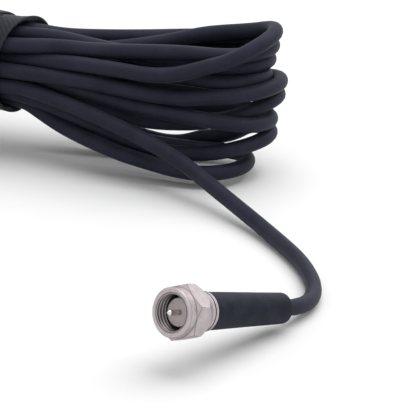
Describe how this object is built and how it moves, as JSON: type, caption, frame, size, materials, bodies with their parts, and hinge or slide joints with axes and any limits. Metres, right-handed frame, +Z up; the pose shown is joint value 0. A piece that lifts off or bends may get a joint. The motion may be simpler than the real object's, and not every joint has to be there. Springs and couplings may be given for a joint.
{
  "type": "coaxial antenna lead",
  "caption": "Hank of thin coaxial antenna cable tied with a fabric strap, with a threaded coaxial plug whose hexagon coupling nut spins on its body, and a stripped far end.",
  "frame": {"origin": "on the surface the lead lies on, below the middle of the part's box", "axes": "+X along the hank, +Z up; the plug lies in front of the hank, towards -Y"},
  "size_m": [0.1348, 0.1001, 0.0262],
  "materials": {
    "nickel_plate": "satin",
    "spring_bronze": "satin",
    "contact_plate": "polished",
    "white_fluoropolymer": "matte",
    "copper_wire": "satin",
    "cable_core": "matte",
    "tinned_braid": "satin",
    "cable_jacket": "satin",
    "black_sleeve": "matte",
    "woven_strap": "matte"
  },
  "bodies": {
    "lead": {"retaining_ring": "spring_bronze", "plug_body": "nickel_plate", "insulator": "white_fluoropolymer", "center_pin": "contact_plate", "plug_conductor": "copper_wire", "plug_dielectric": "cable_core", "plug_braid": "tinned_braid", "plug_cable": "cable_jacket", "crimp_ferrule": "nickel_plate", "boot_sleeve": "black_sleeve", "cable_hank": "cable_jacket", "cable_tail": "cable_jacket", "far_cable": "cable_jacket", "far_braid": "tinned_braid", "far_dielectric": "cable_core", "far_conductor": "copper_wire", "tie_strap": "woven_strap"},
    "nut": {"coupling_nut": "nickel_plate"}
  },
  "joints": [
    {"name": "nut_spin", "type": "hinge", "parent": "lead", "child": "nut", "pos_m": [0.05612, -0.04578, 0.00953], "axis": [-0.3402, -0.905, 0.2554], "continuous": true}
  ]
}
